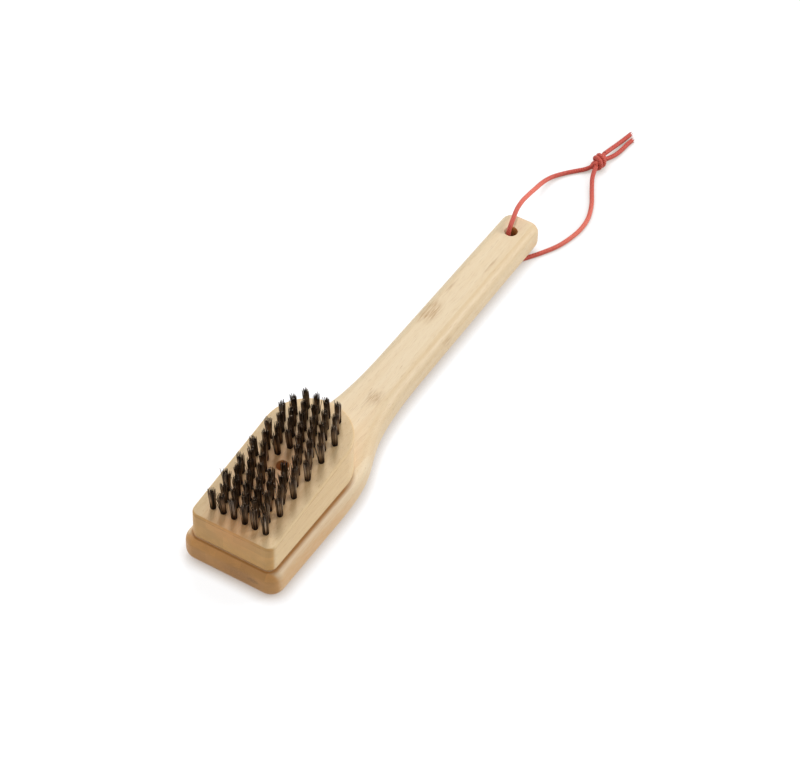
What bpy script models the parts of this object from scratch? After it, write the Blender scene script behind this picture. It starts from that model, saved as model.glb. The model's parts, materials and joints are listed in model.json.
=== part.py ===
"""Bamboo grill brush: a wedge-shaped block of wire tufts screwed to a paddle handle, with a hanging cord.

The brush lies as it is put down on a table: its head rests on the board's front edge, and the handle's end
rests on its own hanging cord, which runs out under the handle from the hanging hole.
Lengths are in metres, +Z is up, +X runs along the handle from the head to the hanging hole.
"""

import math
import random

import bmesh
import bpy
from mathutils import Matrix, Vector

# Clearance kept between two pieces that touch.
JOINT_GAP = 0.0003

# Handle board: a paddle that narrows through a smooth shoulder to a long grip, its edges well rounded.
BOARD_LENGTH = 0.4106
BOARD_THICKNESS = 0.0236
EDGE_ROUND = 0.0084
PADDLE_HALF_WIDTH = 0.0398
PADDLE_CORNER_RADIUS = 0.0108
SHOULDER_START = 0.0829
SHOULDER_END = 0.2313
SHOULDER_PULL_FRONT = 0.0744
SHOULDER_PULL_BACK = 0.1071
NECK_HALF_WIDTH = 0.0172
GRIP_END_HALF_WIDTH = 0.0157
GRIP_CORNER_RADIUS = 0.0090

# Hanging hole through the end of the grip.
HOLE_FROM_END = 0.0220
HOLE_DIAMETER = 0.010
HOLE_EDGE_BREAK = 0.0006

# Brush block: straight front, half-round rear, top face rising towards the grip.
BLOCK_SET_BACK = 0.00404
BLOCK_LENGTH = 0.1297
BLOCK_HALF_WIDTH = 0.034
BLOCK_FRONT_HEIGHT = 0.0229
BLOCK_SLOPE = math.radians(6.04)
BLOCK_CORNER_RADIUS = 0.005
BLOCK_EDGE_ROUND = 0.0008

# Screw that holds the block to the board, sunk in a deep counterbore.
COUNTERBORE_DIAMETER = 0.0094
SCREW_BEHIND_MIDDLE_ROW = 0.00116
SCREW_SEAT_HEIGHT = 0.012
SCREW_HEAD_DIAMETER = 0.008
SCREW_HEAD_THICKNESS = 0.0028
SCREW_SHANK_DIAMETER = 0.0042
SCREW_LENGTH = 0.027
SCREW_POINT_LENGTH = 0.004
SCREW_RECESS_WIDTH = 0.0011
SCREW_RECESS_SPAN = 0.0044
SCREW_RECESS_DEPTH = 0.0016

# Two dowels between block and board, which stop the block turning about its one screw.
DOWEL_DIAMETER = 0.006
DOWEL_DEPTH = 0.009
DOWEL_CHAMFER = 0.0006
DOWEL_FRONT_FROM_SCREW = 0.040
DOWEL_REAR_FROM_SCREW = 0.038

# Wire tufts, in rows spread evenly over the block's sloped face. Wide rows take turns with rows of one
# tuft less. A tuft stands clear of the screw by more than its own pitch.
ROW_COUNT = 13
FIRST_ROW_FROM_FRONT = 0.012
LAST_ROW_FROM_REAR = 0.0121
TUFTS_IN_WIDE_ROW = 6
WIDE_ROW_FROM_SIDE = 0.0124
PITCHES_CLEAR_OF_SCREW = 1.2
TUFT_HEIGHT = 0.0205
TUFT_EDGE_MARGIN = 0.005
STRANDS_ROUND_TUFT = 6
STRAND_SIDES = 3
STRAND_BASE_RADIUS = 0.00058
STRAND_TIP_RADIUS = 0.00046
STRAND_ROOT_DEPTH = 0.0008
TUFT_RING_BASE = 0.00128
TUFT_RING_TIP = 0.0023
TUFT_LEAN = 0.0009
STRAND_LENGTH_SPREAD = 0.04
TUFT_SEED = 12

# Slice of the block that a row's strands are rooted in, flush in a shallow groove.
SLICE_WIDTH = 0.0050
SLICE_DEPTH = 0.0015
SLICE_END_MARGIN = 0.0030

# Hanging cord. Its vertical run through the hole lies a little in front of the hole's centre.
CORD_DIAMETER = 0.0035
CORD_FRONT_OF_HOLE = 0.0027
KNOT_LENGTH = 0.0140
KNOT_WIDTH = 0.0125
KNOT_HEIGHT = 0.0110
KNOT_CENTRE = (0.3146, -0.0067, 0.0057)
KNOT_TURN = math.radians(-11)

# The cord's routes as points chosen by hand, in millimetres, where the brush and the cord lie.
UPPER_STRAND_ROUTE = [
    (180.6, 0.8, 15.7), (180.6, 0.8, 20.7), (180.6, 0.8, 25.2), (181.4, 0.9, 28.5),
    (183.8, 1.4, 31.0), (187.2, 2.2, 32.0), (192.6, 3.7, 32.0), (200.0, 6.0, 31.2),
    (207.4, 8.1, 29.9), (220.6, 10.8, 25.7), (235.7, 13.3, 19.5), (250.4, 15.6, 13.0),
    (263.9, 17.4, 7.6), (274.0, 17.4, 4.2), (282.0, 15.9, 2.5), (291.9, 10.7, 2.1),
    (299.3, 4.2, 2.9), (303.9, -0.2, 4.1), (307.6, -3.7, 5.1),
]
LOWER_STRAND_ROUTE = [
    (180.6, 0.8, 15.4), (180.6, 0.8, 11.9), (180.6, 0.8, 8.5), (180.6, 0.0, 5.2),
    (180.9, -2.3, 2.7), (181.8, -5.6, 1.75), (184.4, -9.3, 1.75), (189.0, -12.7, 1.75),
    (201.1, -20.0, 1.75), (213.7, -26.2, 1.75), (227.1, -29.9, 1.75), (240.5, -31.5, 1.75),
    (254.0, -30.2, 1.75), (269.1, -24.9, 2.0), (282.8, -17.5, 2.8), (294.0, -11.6, 4.0),
    (301.9, -9.3, 5.0), (307.5, -8.45, 5.5),
]
LONG_TAIL_ROUTE = [
    (322.1, -6.9, 7.4), (326.8, -7.0, 6.5), (333.0, -7.6, 4.9), (341.8, -8.6, 3.1),
    (350.6, -9.1, 2.2), (360.2, -9.1, 1.75),
]
SHORT_TAIL_ROUTE = [
    (321.2, -9.5, 3.3), (326.4, -10.9, 2.6), (333.8, -13.1, 2.0), (341.2, -13.8, 1.75),
    (347.8, -14.1, 1.75), (354.9, -16.0, 1.75),
]

# Facets of round shapes.
CORNER_STEPS = 6
SHOULDER_STEPS = 18
HALF_ROUND_STEPS = 24
BORE_SEGMENTS = 24
CUTTER_REACH = 0.002

# The board's corners, seen from above, set how far its edges can be rounded.
BOARD_ROUND = min(EDGE_ROUND, PADDLE_CORNER_RADIUS - JOINT_GAP, GRIP_CORNER_RADIUS - JOINT_GAP)
BOARD_HOLE_X = BOARD_LENGTH - HOLE_FROM_END
BLOCK_REAR_X = BLOCK_SET_BACK + BLOCK_LENGTH
BLOCK_ROUND_X = BLOCK_REAR_X - BLOCK_HALF_WIDTH
ROW_PITCH = (BLOCK_LENGTH - FIRST_ROW_FROM_FRONT - LAST_ROW_FROM_REAR) / (ROW_COUNT - 1)
TUFT_PITCH = 2 * (BLOCK_HALF_WIDTH - WIDE_ROW_FROM_SIDE) / (TUFTS_IN_WIDE_ROW - 1)
MIDDLE_ROW = FIRST_ROW_FROM_FRONT + ROW_PITCH * (ROW_COUNT // 2)
SCREW_X = BLOCK_SET_BACK + MIDDLE_ROW * math.cos(BLOCK_SLOPE) + SCREW_BEHIND_MIDDLE_ROW
SCREW_SEAT_Z = BOARD_THICKNESS + SCREW_SEAT_HEIGHT


def clear_scene():
    """Remove the objects that a new file starts with."""
    for item in list(bpy.data.objects):
        bpy.data.objects.remove(item, do_unlink=True)


def make_collection(name):
    collection = bpy.data.collections.new(name)
    bpy.context.scene.collection.children.link(collection)
    return collection


def make_material(name, color, roughness, metallic=0.0):
    """A Principled material with one colour, written as linear red, green and blue."""
    material = bpy.data.materials.new(name)
    material.use_nodes = True
    shader = material.node_tree.nodes["Principled BSDF"]
    shader.inputs["Base Color"].default_value = (*color, 1.0)
    shader.inputs["Roughness"].default_value = roughness
    shader.inputs["Metallic"].default_value = metallic
    return material


def add_object(name, data, collection, parent=None, location=(0.0, 0.0, 0.0), material=None):
    item = bpy.data.objects.new(name, data)
    collection.objects.link(item)
    item.parent = parent
    item.location = location
    if material:
        item.data.materials.append(material)
    return item


def mark_cutter(item):
    """A cutter shapes other pieces and is no piece of the brush itself."""
    item.hide_render = True
    item.display_type = "WIRE"
    return item


def add_boolean(item, operation, other):
    modifier = item.modifiers.new(operation.lower(), "BOOLEAN")
    modifier.operation = operation
    modifier.object = other
    modifier.solver = "EXACT"
    return modifier


def add_bevel(item, width, segments, angle=math.radians(40)):
    modifier = item.modifiers.new("round_edges", "BEVEL")
    modifier.width = width
    modifier.segments = segments
    modifier.limit_method = "ANGLE"
    modifier.angle_limit = angle
    return modifier


def arc_points(centre, radius, start, end, steps):
    """Points on an arc, from the start angle to the end angle, in degrees."""
    angles = [math.radians(start + (end - start) * i / steps) for i in range(steps + 1)]
    return [(centre[0] + radius * math.cos(a), centre[1] + radius * math.sin(a)) for a in angles]


def bezier_points(start, start_pull, end_pull, end, steps):
    """Points on a cubic curve between two ends, each with its own pull point."""
    points = []
    for i in range(steps + 1):
        t = i / steps
        weights = ((1 - t) ** 3, 3 * t * (1 - t) ** 2, 3 * t * t * (1 - t), t ** 3)
        corners = (start, start_pull, end_pull, end)
        x = sum(w * c[0] for w, c in zip(weights, corners))
        y = sum(w * c[1] for w, c in zip(weights, corners))
        points.append((x, y))
    return points


def mirrored(half):
    """A closed outline from its +Y half, which runs from one end to the other."""
    return half + [(x, -y) for x, y in reversed(half)]


def plate(name, outline, z_low, z_high, collection, parent, material=None):
    """A flat outline extruded between two heights, as a closed mesh with single flat caps."""
    curve = bpy.data.curves.new(name, "CURVE")
    curve.dimensions = "2D"
    curve.fill_mode = "BOTH"
    curve.extrude = (z_high - z_low) / 2
    spline = curve.splines.new("POLY")
    spline.points.add(len(outline) - 1)
    for point, (x, y) in zip(spline.points, outline):
        point.co = (x, y, 0.0, 1.0)
    spline.use_cyclic_u = True
    flat = add_object(name + "_outline", curve, collection)
    depsgraph = bpy.context.evaluated_depsgraph_get()
    mesh = bpy.data.meshes.new_from_object(flat.evaluated_get(depsgraph))
    bpy.data.objects.remove(flat, do_unlink=True)
    bm = bmesh.new()
    bm.from_mesh(mesh)
    bmesh.ops.remove_doubles(bm, verts=bm.verts, dist=1e-6)
    bmesh.ops.dissolve_limit(bm, angle_limit=math.radians(0.2), verts=bm.verts, edges=bm.edges)
    bmesh.ops.recalc_face_normals(bm, faces=bm.faces)
    bm.to_mesh(mesh)
    bm.free()
    mesh.name = name
    return add_object(name, mesh, collection, parent, (0.0, 0.0, (z_low + z_high) / 2), material)


def turned(name, profile, segments, collection, parent, location, material=None):
    """A turned solid. The profile holds radius and height, and runs from the top to the bottom."""
    mesh = bpy.data.meshes.new(name)
    edges = [(i, i + 1) for i in range(len(profile) - 1)]
    mesh.from_pydata([(radius, 0.0, height) for radius, height in profile], edges, [])
    item = add_object(name, mesh, collection, parent, location, material)
    screw = item.modifiers.new("turn", "SCREW")
    screw.steps = segments
    screw.render_steps = segments
    screw.use_merge_vertices = True
    screw.merge_threshold = 1e-5
    return item


def box(name, low, high, collection, parent, material=None):
    """A box between two corners."""
    bm = bmesh.new()
    add_box(bm, low, high)
    mesh = bpy.data.meshes.new(name)
    bm.to_mesh(mesh)
    bm.free()
    return add_object(name, mesh, collection, parent, material=material)


def add_box(bm, low, high):
    low = Vector(low)
    high = Vector(high)
    size = high - low
    place = Matrix.Translation((low + high) / 2) @ Matrix.Diagonal((*size, 1.0))
    bmesh.ops.create_cube(bm, size=1.0, matrix=place)


def shade_round(item, angle=math.radians(35)):
    item.data.shade_smooth()
    item.data.set_sharp_from_angle(angle=angle)


def board_outline():
    """The handle board seen from above: paddle, shoulder and tapering grip."""
    front = arc_points(
        (PADDLE_CORNER_RADIUS, PADDLE_HALF_WIDTH - PADDLE_CORNER_RADIUS),
        PADDLE_CORNER_RADIUS, 180, 90, CORNER_STEPS,
    )
    taper = (GRIP_END_HALF_WIDTH - NECK_HALF_WIDTH) / (BOARD_LENGTH - SHOULDER_END)
    shoulder = bezier_points(
        (SHOULDER_START, PADDLE_HALF_WIDTH),
        (SHOULDER_START + SHOULDER_PULL_FRONT, PADDLE_HALF_WIDTH),
        (SHOULDER_END - SHOULDER_PULL_BACK, NECK_HALF_WIDTH - taper * SHOULDER_PULL_BACK),
        (SHOULDER_END, NECK_HALF_WIDTH),
        SHOULDER_STEPS,
    )
    end = arc_points(
        (BOARD_LENGTH - GRIP_CORNER_RADIUS, GRIP_END_HALF_WIDTH - GRIP_CORNER_RADIUS),
        GRIP_CORNER_RADIUS, 90, 0, CORNER_STEPS,
    )
    return mirrored(front + shoulder + end)


def block_outline():
    """The brush block seen from above: straight front with small corners, half-round rear."""
    front = arc_points(
        (BLOCK_SET_BACK + BLOCK_CORNER_RADIUS, BLOCK_HALF_WIDTH - BLOCK_CORNER_RADIUS),
        BLOCK_CORNER_RADIUS, 180, 90, CORNER_STEPS,
    )
    rear = arc_points((BLOCK_ROUND_X, 0.0), BLOCK_HALF_WIDTH, 90, -90, HALF_ROUND_STEPS)
    return front + rear + [(x, -y) for x, y in reversed(front)]


def bore_cutter(name, radius, z_low, z_high, x, cutters, frame):
    """A plain round cutter along Z."""
    profile = [(0.0, z_high), (radius, z_high), (radius, z_low), (0.0, z_low)]
    return mark_cutter(turned(name, profile, BORE_SEGMENTS, cutters, frame, (x, 0.0, 0.0)))


def dowel_places():
    return {
        "dowel_front": SCREW_X - DOWEL_FRONT_FROM_SCREW,
        "dowel_rear": SCREW_X + DOWEL_REAR_FROM_SCREW,
    }


def dowel_cutters(parts_name, cutters, frame):
    """One cutter for each dowel hole, long enough for the half in the board or in the block."""
    reach = DOWEL_DEPTH + JOINT_GAP
    found = []
    for name, x in dowel_places().items():
        found.append(bore_cutter(
            f"{name}_hole_in_{parts_name}", DOWEL_DIAMETER / 2 + JOINT_GAP,
            BOARD_THICKNESS - reach, BOARD_THICKNESS + reach + JOINT_GAP, x, cutters, frame,
        ))
    return found


def make_board(parts, cutters, frame):
    """The handle board, with the hanging hole, the screw's pilot hole and the dowel holes."""
    bamboo = make_material("bamboo_handle", (0.78, 0.62, 0.40), 0.5)
    board = plate("handle_board", board_outline(), 0.0, BOARD_THICKNESS, parts, frame, bamboo)
    add_bevel(board, BOARD_ROUND, 6)

    radius = HOLE_DIAMETER / 2
    flare = radius + HOLE_EDGE_BREAK + CUTTER_REACH
    profile = [
        (0.0, BOARD_THICKNESS + CUTTER_REACH), (flare, BOARD_THICKNESS + CUTTER_REACH),
        (radius, BOARD_THICKNESS - HOLE_EDGE_BREAK), (radius, HOLE_EDGE_BREAK),
        (flare, -CUTTER_REACH), (0.0, -CUTTER_REACH),
    ]
    place = (BOARD_HOLE_X, 0.0, 0.0)
    hanging = mark_cutter(turned("hanging_hole", profile, BORE_SEGMENTS, cutters, frame, place))
    add_boolean(board, "DIFFERENCE", hanging)

    pilot_floor = SCREW_SEAT_Z - SCREW_LENGTH - JOINT_GAP
    pilot = bore_cutter(
        "pilot_hole", SCREW_SHANK_DIAMETER / 2 + JOINT_GAP,
        pilot_floor, BOARD_THICKNESS + CUTTER_REACH, SCREW_X, cutters, frame,
    )
    add_boolean(board, "DIFFERENCE", pilot)
    for cutter in dowel_cutters("board", cutters, frame):
        add_boolean(board, "DIFFERENCE", cutter)
    shade_round(board)
    return board


def make_block(parts, cutters, frame, slope, groups):
    """The wedge-shaped block, with a groove for each row of tufts and the counterbored screw hole."""
    bamboo = make_material("bamboo_block", (0.74, 0.55, 0.33), 0.5)
    rear_height = BLOCK_FRONT_HEIGHT + BLOCK_LENGTH * math.tan(BLOCK_SLOPE)
    top = BOARD_THICKNESS + rear_height + CUTTER_REACH
    block = plate(
        "brush_block", block_outline(), BOARD_THICKNESS + JOINT_GAP, top, parts, frame, bamboo,
    )

    run = BLOCK_LENGTH / math.cos(BLOCK_SLOPE) + 4 * CUTTER_REACH
    wide = BLOCK_HALF_WIDTH + CUTTER_REACH
    over = mark_cutter(box(
        "slope_cut", (-8 * CUTTER_REACH, -wide, 0.0), (run, wide, BLOCK_LENGTH / 2), cutters, slope,
    ))
    add_boolean(block, "DIFFERENCE", over)
    add_bevel(block, BLOCK_EDGE_ROUND, 2)

    bm = bmesh.new()
    for group in groups:
        low, high = slice_corners(group, JOINT_GAP)
        add_box(bm, low, (high[0], high[1], CUTTER_REACH))
    grooves = bpy.data.meshes.new("row_grooves")
    bm.to_mesh(grooves)
    bm.free()
    add_boolean(block, "DIFFERENCE", mark_cutter(add_object("row_grooves", grooves, cutters, slope)))

    bore = COUNTERBORE_DIAMETER / 2
    passage = SCREW_SHANK_DIAMETER / 2 + JOINT_GAP
    seat = SCREW_SEAT_Z - JOINT_GAP
    profile = [
        (0.0, top + CUTTER_REACH), (bore, top + CUTTER_REACH), (bore, seat),
        (passage, seat), (passage, BOARD_THICKNESS - CUTTER_REACH), (0.0, BOARD_THICKNESS - CUTTER_REACH),
    ]
    place = (SCREW_X, 0.0, 0.0)
    screw_hole = mark_cutter(turned("screw_hole", profile, BORE_SEGMENTS, cutters, frame, place))
    add_boolean(block, "DIFFERENCE", screw_hole)
    for cutter in dowel_cutters("block", cutters, frame):
        add_boolean(block, "DIFFERENCE", cutter)
    shade_round(block)
    return block


def make_screw(parts, cutters, frame):
    """A pan-head wood screw with a cross recess, its thread left plain."""
    steel = make_material("zinc_plated_screw", (0.55, 0.55, 0.54), 0.35, 1.0)
    head = SCREW_HEAD_DIAMETER / 2
    shank = SCREW_SHANK_DIAMETER / 2
    profile = [
        (0.0, SCREW_HEAD_THICKNESS), (head * 0.6, SCREW_HEAD_THICKNESS),
        (head * 0.88, SCREW_HEAD_THICKNESS * 0.8), (head, SCREW_HEAD_THICKNESS * 0.4), (head, 0.0),
        (shank, 0.0), (shank, SCREW_POINT_LENGTH - SCREW_LENGTH), (0.0, -SCREW_LENGTH),
    ]
    place = (SCREW_X, 0.0, SCREW_SEAT_Z)
    screw = turned("block_screw", profile, 20, parts, frame, place, steel)
    floor = SCREW_HEAD_THICKNESS - SCREW_RECESS_DEPTH
    for name, (half_x, half_y) in {
        "recess_along": (SCREW_RECESS_SPAN / 2, SCREW_RECESS_WIDTH / 2),
        "recess_across": (SCREW_RECESS_WIDTH / 2, SCREW_RECESS_SPAN / 2),
    }.items():
        slot = mark_cutter(box(
            name, (-half_x, -half_y, floor), (half_x, half_y, SCREW_HEAD_THICKNESS + CUTTER_REACH),
            cutters, frame,
        ))
        slot.location = place
        add_boolean(screw, "DIFFERENCE", slot)
    return screw


def make_dowels(parts, frame):
    """Two plain dowels, each half in the board and half in the block."""
    beech = make_material("beech_dowel", (0.66, 0.47, 0.27), 0.6)
    radius = DOWEL_DIAMETER / 2
    for name, x in dowel_places().items():
        profile = [
            (0.0, DOWEL_DEPTH), (radius - DOWEL_CHAMFER, DOWEL_DEPTH),
            (radius, DOWEL_DEPTH - DOWEL_CHAMFER), (radius, DOWEL_CHAMFER - DOWEL_DEPTH),
            (radius - DOWEL_CHAMFER, -DOWEL_DEPTH), (0.0, -DOWEL_DEPTH),
        ]
        turned(name, profile, 20, parts, frame, (x, 0.0, BOARD_THICKNESS + JOINT_GAP / 2), beech)


def tuft_is_wanted(x, y):
    """Whether a tuft at this place on the sloped face has room, clear of the edge and of the screw."""
    plan_x = BLOCK_SET_BACK + x * math.cos(BLOCK_SLOPE)
    if math.hypot((plan_x - SCREW_X) / ROW_PITCH, y / TUFT_PITCH) < PITCHES_CLEAR_OF_SCREW:
        return False
    if plan_x > BLOCK_ROUND_X:
        edge = BLOCK_HALF_WIDTH - math.hypot(plan_x - BLOCK_ROUND_X, y)
    else:
        edge = min(BLOCK_HALF_WIDTH - abs(y), plan_x - BLOCK_SET_BACK)
    return edge > TUFT_EDGE_MARGIN


def tuft_groups():
    """The tufts that share one slice of the block: a whole row, or its left or right part."""
    groups = []
    for row in range(ROW_COUNT):
        x = FIRST_ROW_FROM_FRONT + row * ROW_PITCH
        count = TUFTS_IN_WIDE_ROW - row % 2
        places = [(i - (count - 1) / 2) * TUFT_PITCH for i in range(count)]
        places = [y for y in places if tuft_is_wanted(x, y)]
        name = f"tuft_row_{row + 1:02d}"
        split = any(b - a > 1.5 * TUFT_PITCH for a, b in zip(places, places[1:]))
        if split:
            groups.append({"name": name + "_right", "x": x, "places": [y for y in places if y < 0]})
            groups.append({"name": name + "_left", "x": x, "places": [y for y in places if y > 0]})
        else:
            groups.append({"name": name, "x": x, "places": places})
    return groups


def slice_corners(group, clearance=0.0):
    """Low and high corners of a row's slice, in the sloped face's frame."""
    low = (
        group["x"] - SLICE_WIDTH / 2 - clearance,
        min(group["places"]) - SLICE_END_MARGIN - clearance,
        -SLICE_DEPTH - clearance,
    )
    high = (
        group["x"] + SLICE_WIDTH / 2 + clearance,
        max(group["places"]) + SLICE_END_MARGIN + clearance,
        0.0,
    )
    return low, high


def add_strand(bm, base, tip):
    """One strand, a slim tapered prism that starts below the face and ends at its tip."""
    direction = (tip - base).normalized()
    root = base - direction * STRAND_ROOT_DEPTH
    length = (tip - root).length
    turn = direction.to_track_quat("Z", "Y").to_matrix().to_4x4()
    place = Matrix.Translation((root + tip) / 2) @ turn
    bmesh.ops.create_cone(
        bm, cap_ends=True, segments=STRAND_SIDES, radius1=STRAND_BASE_RADIUS,
        radius2=STRAND_TIP_RADIUS, depth=length, matrix=place,
    )


def add_tuft(bm, x, y, chance):
    """A tuft of strands that spread from a round root, leaning a little to one side."""
    lean = Vector((chance.uniform(-TUFT_LEAN, TUFT_LEAN), chance.uniform(-TUFT_LEAN, TUFT_LEAN), 0.0))
    start = chance.uniform(0, 2 * math.pi)
    centre = Vector((x, y, 0.0))
    offsets = [Vector((0.0, 0.0, 0.0))]
    for i in range(STRANDS_ROUND_TUFT):
        angle = start + 2 * math.pi * i / STRANDS_ROUND_TUFT
        offsets.append(Vector((math.cos(angle), math.sin(angle), 0.0)))
    for offset in offsets:
        height = TUFT_HEIGHT * (1 - chance.uniform(0, STRAND_LENGTH_SPREAD))
        base = centre + offset * TUFT_RING_BASE
        tip = centre + lean + offset * TUFT_RING_TIP + Vector((0.0, 0.0, height))
        add_strand(bm, base, tip)


def make_tuft_rows(parts, cutters, slope, groups):
    """Each row's tufts, joined to the slice of the block that holds them."""
    chance = random.Random(TUFT_SEED)
    steel = make_material("brush_wire", (0.10, 0.09, 0.08), 0.38, 1.0)
    for group in groups:
        bm = bmesh.new()
        for y in group["places"]:
            add_tuft(bm, group["x"], y, chance)
        strands = bpy.data.meshes.new(group["name"] + "_strands")
        bm.to_mesh(strands)
        bm.free()
        low, high = slice_corners(group)
        row = box(group["name"], low, high, parts, slope, steel)
        guide = mark_cutter(add_object(group["name"] + "_strands", strands, cutters, slope))
        add_boolean(row, "UNION", guide)


def smooth_route(route, step):
    """Points on a smooth curve through the route's own points, about one step apart."""
    knots = [Vector(point) * 0.001 for point in route]
    ends = [2 * knots[0] - knots[1], *knots, 2 * knots[-1] - knots[-2]]
    points = [knots[0]]
    for before, start, end, after in zip(ends, ends[1:], ends[2:], ends[3:]):
        pull_start = (end - before) / ((end - start).length + (start - before).length)
        pull_end = (after - start) / ((after - end).length + (end - start).length)
        span = (end - start).length
        count = max(1, round(span / step))
        for i in range(1, count + 1):
            t = i / count
            points.append(
                start * (2 * t ** 3 - 3 * t ** 2 + 1) + end * (3 * t ** 2 - 2 * t ** 3)
                + pull_start * span * (t ** 3 - 2 * t ** 2 + t) + pull_end * span * (t ** 3 - t ** 2)
            )
    return points


def make_cord(name, route, parts, material):
    """A stretch of the cord, as a tube along its route."""
    curve = bpy.data.curves.new(name, "CURVE")
    curve.dimensions = "3D"
    curve.bevel_depth = CORD_DIAMETER / 2
    curve.bevel_resolution = 2
    curve.use_fill_caps = True
    points = smooth_route(route, 2 * CORD_DIAMETER)
    spline = curve.splines.new("POLY")
    spline.points.add(len(points) - 1)
    for target, point in zip(spline.points, points):
        target.co = (*point, 1.0)
    return add_object(name, curve, parts, material=material)


def make_hanging_cord(parts):
    """The cord's two strands, from the middle of the hanging hole to the knot, the knot and its tails."""
    cotton = make_material("waxed_red_cord", (0.60, 0.045, 0.03), 0.6)
    make_cord("cord_upper_strand", UPPER_STRAND_ROUTE, parts, cotton)
    make_cord("cord_lower_strand", LOWER_STRAND_ROUTE, parts, cotton)
    make_cord("cord_tail_long", LONG_TAIL_ROUTE, parts, cotton)
    make_cord("cord_tail_short", SHORT_TAIL_ROUTE, parts, cotton)
    bm = bmesh.new()
    size = Matrix.Diagonal((KNOT_LENGTH, KNOT_WIDTH, KNOT_HEIGHT, 1.0))
    bmesh.ops.create_uvsphere(bm, u_segments=18, v_segments=12, radius=0.5, matrix=size)
    mesh = bpy.data.meshes.new("cord_knot")
    bm.to_mesh(mesh)
    bm.free()
    knot = add_object("cord_knot", mesh, parts, location=KNOT_CENTRE, material=cotton)
    knot.rotation_euler = (0.0, 0.0, KNOT_TURN)
    shade_round(knot)


def make_frames(parts):
    """Empties for the brush as it lies, for the board's own frame and for the block's sloped face."""
    rest_span = BOARD_HOLE_X - CORD_FRONT_OF_HOLE - BOARD_ROUND
    pitch = math.asin((CORD_DIAMETER + JOINT_GAP) / rest_span)
    reach = (BOARD_LENGTH - 2 * BOARD_ROUND) * math.cos(pitch)
    backward = (BOARD_THICKNESS - 2 * BOARD_ROUND) * math.sin(pitch)
    middle = BOARD_ROUND + (reach - backward) / 2

    resting = add_object("resting_pose", None, parts)
    resting.location = (BOARD_ROUND - middle, 0.0, BOARD_ROUND)
    resting.rotation_euler = (0.0, -pitch, 0.0)
    frame = add_object("board_frame", None, parts, resting, (-BOARD_ROUND, 0.0, -BOARD_ROUND))
    corner = (BLOCK_SET_BACK, 0.0, BOARD_THICKNESS + BLOCK_FRONT_HEIGHT)
    slope = add_object("sloped_face", None, parts, frame, corner)
    slope.rotation_euler = (0.0, -BLOCK_SLOPE, 0.0)
    return frame, slope


def main():
    clear_scene()
    parts = make_collection("grill_brush")
    cutters = make_collection("cutters")
    frame, slope = make_frames(parts)
    groups = tuft_groups()
    make_board(parts, cutters, frame)
    make_block(parts, cutters, frame, slope, groups)
    make_screw(parts, cutters, frame)
    make_dowels(parts, frame)
    make_tuft_rows(parts, cutters, slope, groups)
    make_hanging_cord(parts)
    bpy.context.view_layer.update()


main()
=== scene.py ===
"""Looks of a bamboo grill brush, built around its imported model.

The wood, the wire tufts and the cord are fine meshes that stand for the model's solids. The screw and the
dowels keep their solids and get a finish. Lengths are in metres, +Z is up and the table is at zero.
The brush's wood has a frame of its own, in which its bottom is flat: +X runs from the head's front edge to
the end of the grip. It lies pitched up a little, because the grip's end rests on the cord.
"""

import json
import math
from functools import partial

import bmesh
import bpy
import numpy as np
from bpy.props import FloatProperty, FloatVectorProperty, IntProperty, PointerProperty
from mathutils import Matrix, Vector


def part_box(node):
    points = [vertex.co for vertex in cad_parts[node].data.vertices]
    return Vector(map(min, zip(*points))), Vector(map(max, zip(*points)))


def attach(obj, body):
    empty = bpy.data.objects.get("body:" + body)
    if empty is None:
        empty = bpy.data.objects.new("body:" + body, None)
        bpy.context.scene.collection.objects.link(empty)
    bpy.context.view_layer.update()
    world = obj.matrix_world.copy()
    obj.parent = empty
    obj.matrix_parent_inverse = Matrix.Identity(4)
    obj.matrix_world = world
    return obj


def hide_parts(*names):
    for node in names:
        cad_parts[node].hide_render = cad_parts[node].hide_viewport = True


bl_info = {
    "name": "Grill brush looks",
    "version": (1, 0, 0),
    "blender": (4, 5, 0),
    "location": "3D View > Sidebar > Brush",
    "description": "Bamboo, wire tufts, screw, dowels, knotted cord and studio of a grill brush",
    "category": "Object",
}

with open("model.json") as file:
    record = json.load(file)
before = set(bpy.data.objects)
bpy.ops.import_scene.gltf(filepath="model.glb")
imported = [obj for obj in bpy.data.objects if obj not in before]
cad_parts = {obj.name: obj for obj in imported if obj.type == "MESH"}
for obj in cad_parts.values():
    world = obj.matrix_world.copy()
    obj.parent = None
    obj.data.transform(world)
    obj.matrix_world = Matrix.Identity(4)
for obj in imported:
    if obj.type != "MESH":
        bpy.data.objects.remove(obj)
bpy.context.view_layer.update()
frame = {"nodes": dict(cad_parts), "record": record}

MM = 0.001
ROOT = "root"


def linear(hex_colour):
    """Turn an sRGB hex colour into linear red, green and blue."""
    channels = [int(hex_colour[i:i + 2], 16) / 255 for i in (0, 2, 4)]
    return tuple(c / 12.92 if c <= 0.04045 else ((c + 0.055) / 1.055) ** 2.4 for c in channels)


# Sizes of the wood that the finer meshes share with the model.
BOARD_LENGTH = 0.4106
BOARD_THICKNESS = 0.0236
HANGING_HOLE_X = BOARD_LENGTH - 0.022
HANGING_HOLE_DIAMETER = 0.010
HOLE_EDGE_BREAK = 0.0006
JOINT_GAP = 0.0003
BLOCK_SET_BACK = 0.00404
BLOCK_LENGTH = 0.1297
BLOCK_HALF_WIDTH = 0.034
BLOCK_CORNER = 0.0066
BLOCK_FRONT_HEIGHT = 0.0229
BLOCK_SLOPE = math.radians(6.04)
SCREW_BEHIND_MIDDLE_ROW = 0.00116
SCREW_SEAT_HEIGHT = 0.012
SCREW_HOLE_DIAMETER = 0.0048
SCREW_HOLE_BELOW_SEAT = 0.0273
COUNTERBORE_DIAMETER = 0.0094
DOWEL_HOLE_DIAMETER = 0.0066
DOWEL_HOLE_DEPTH = 0.0093
DOWELS_FROM_SCREW = (-0.040, 0.038)

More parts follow.
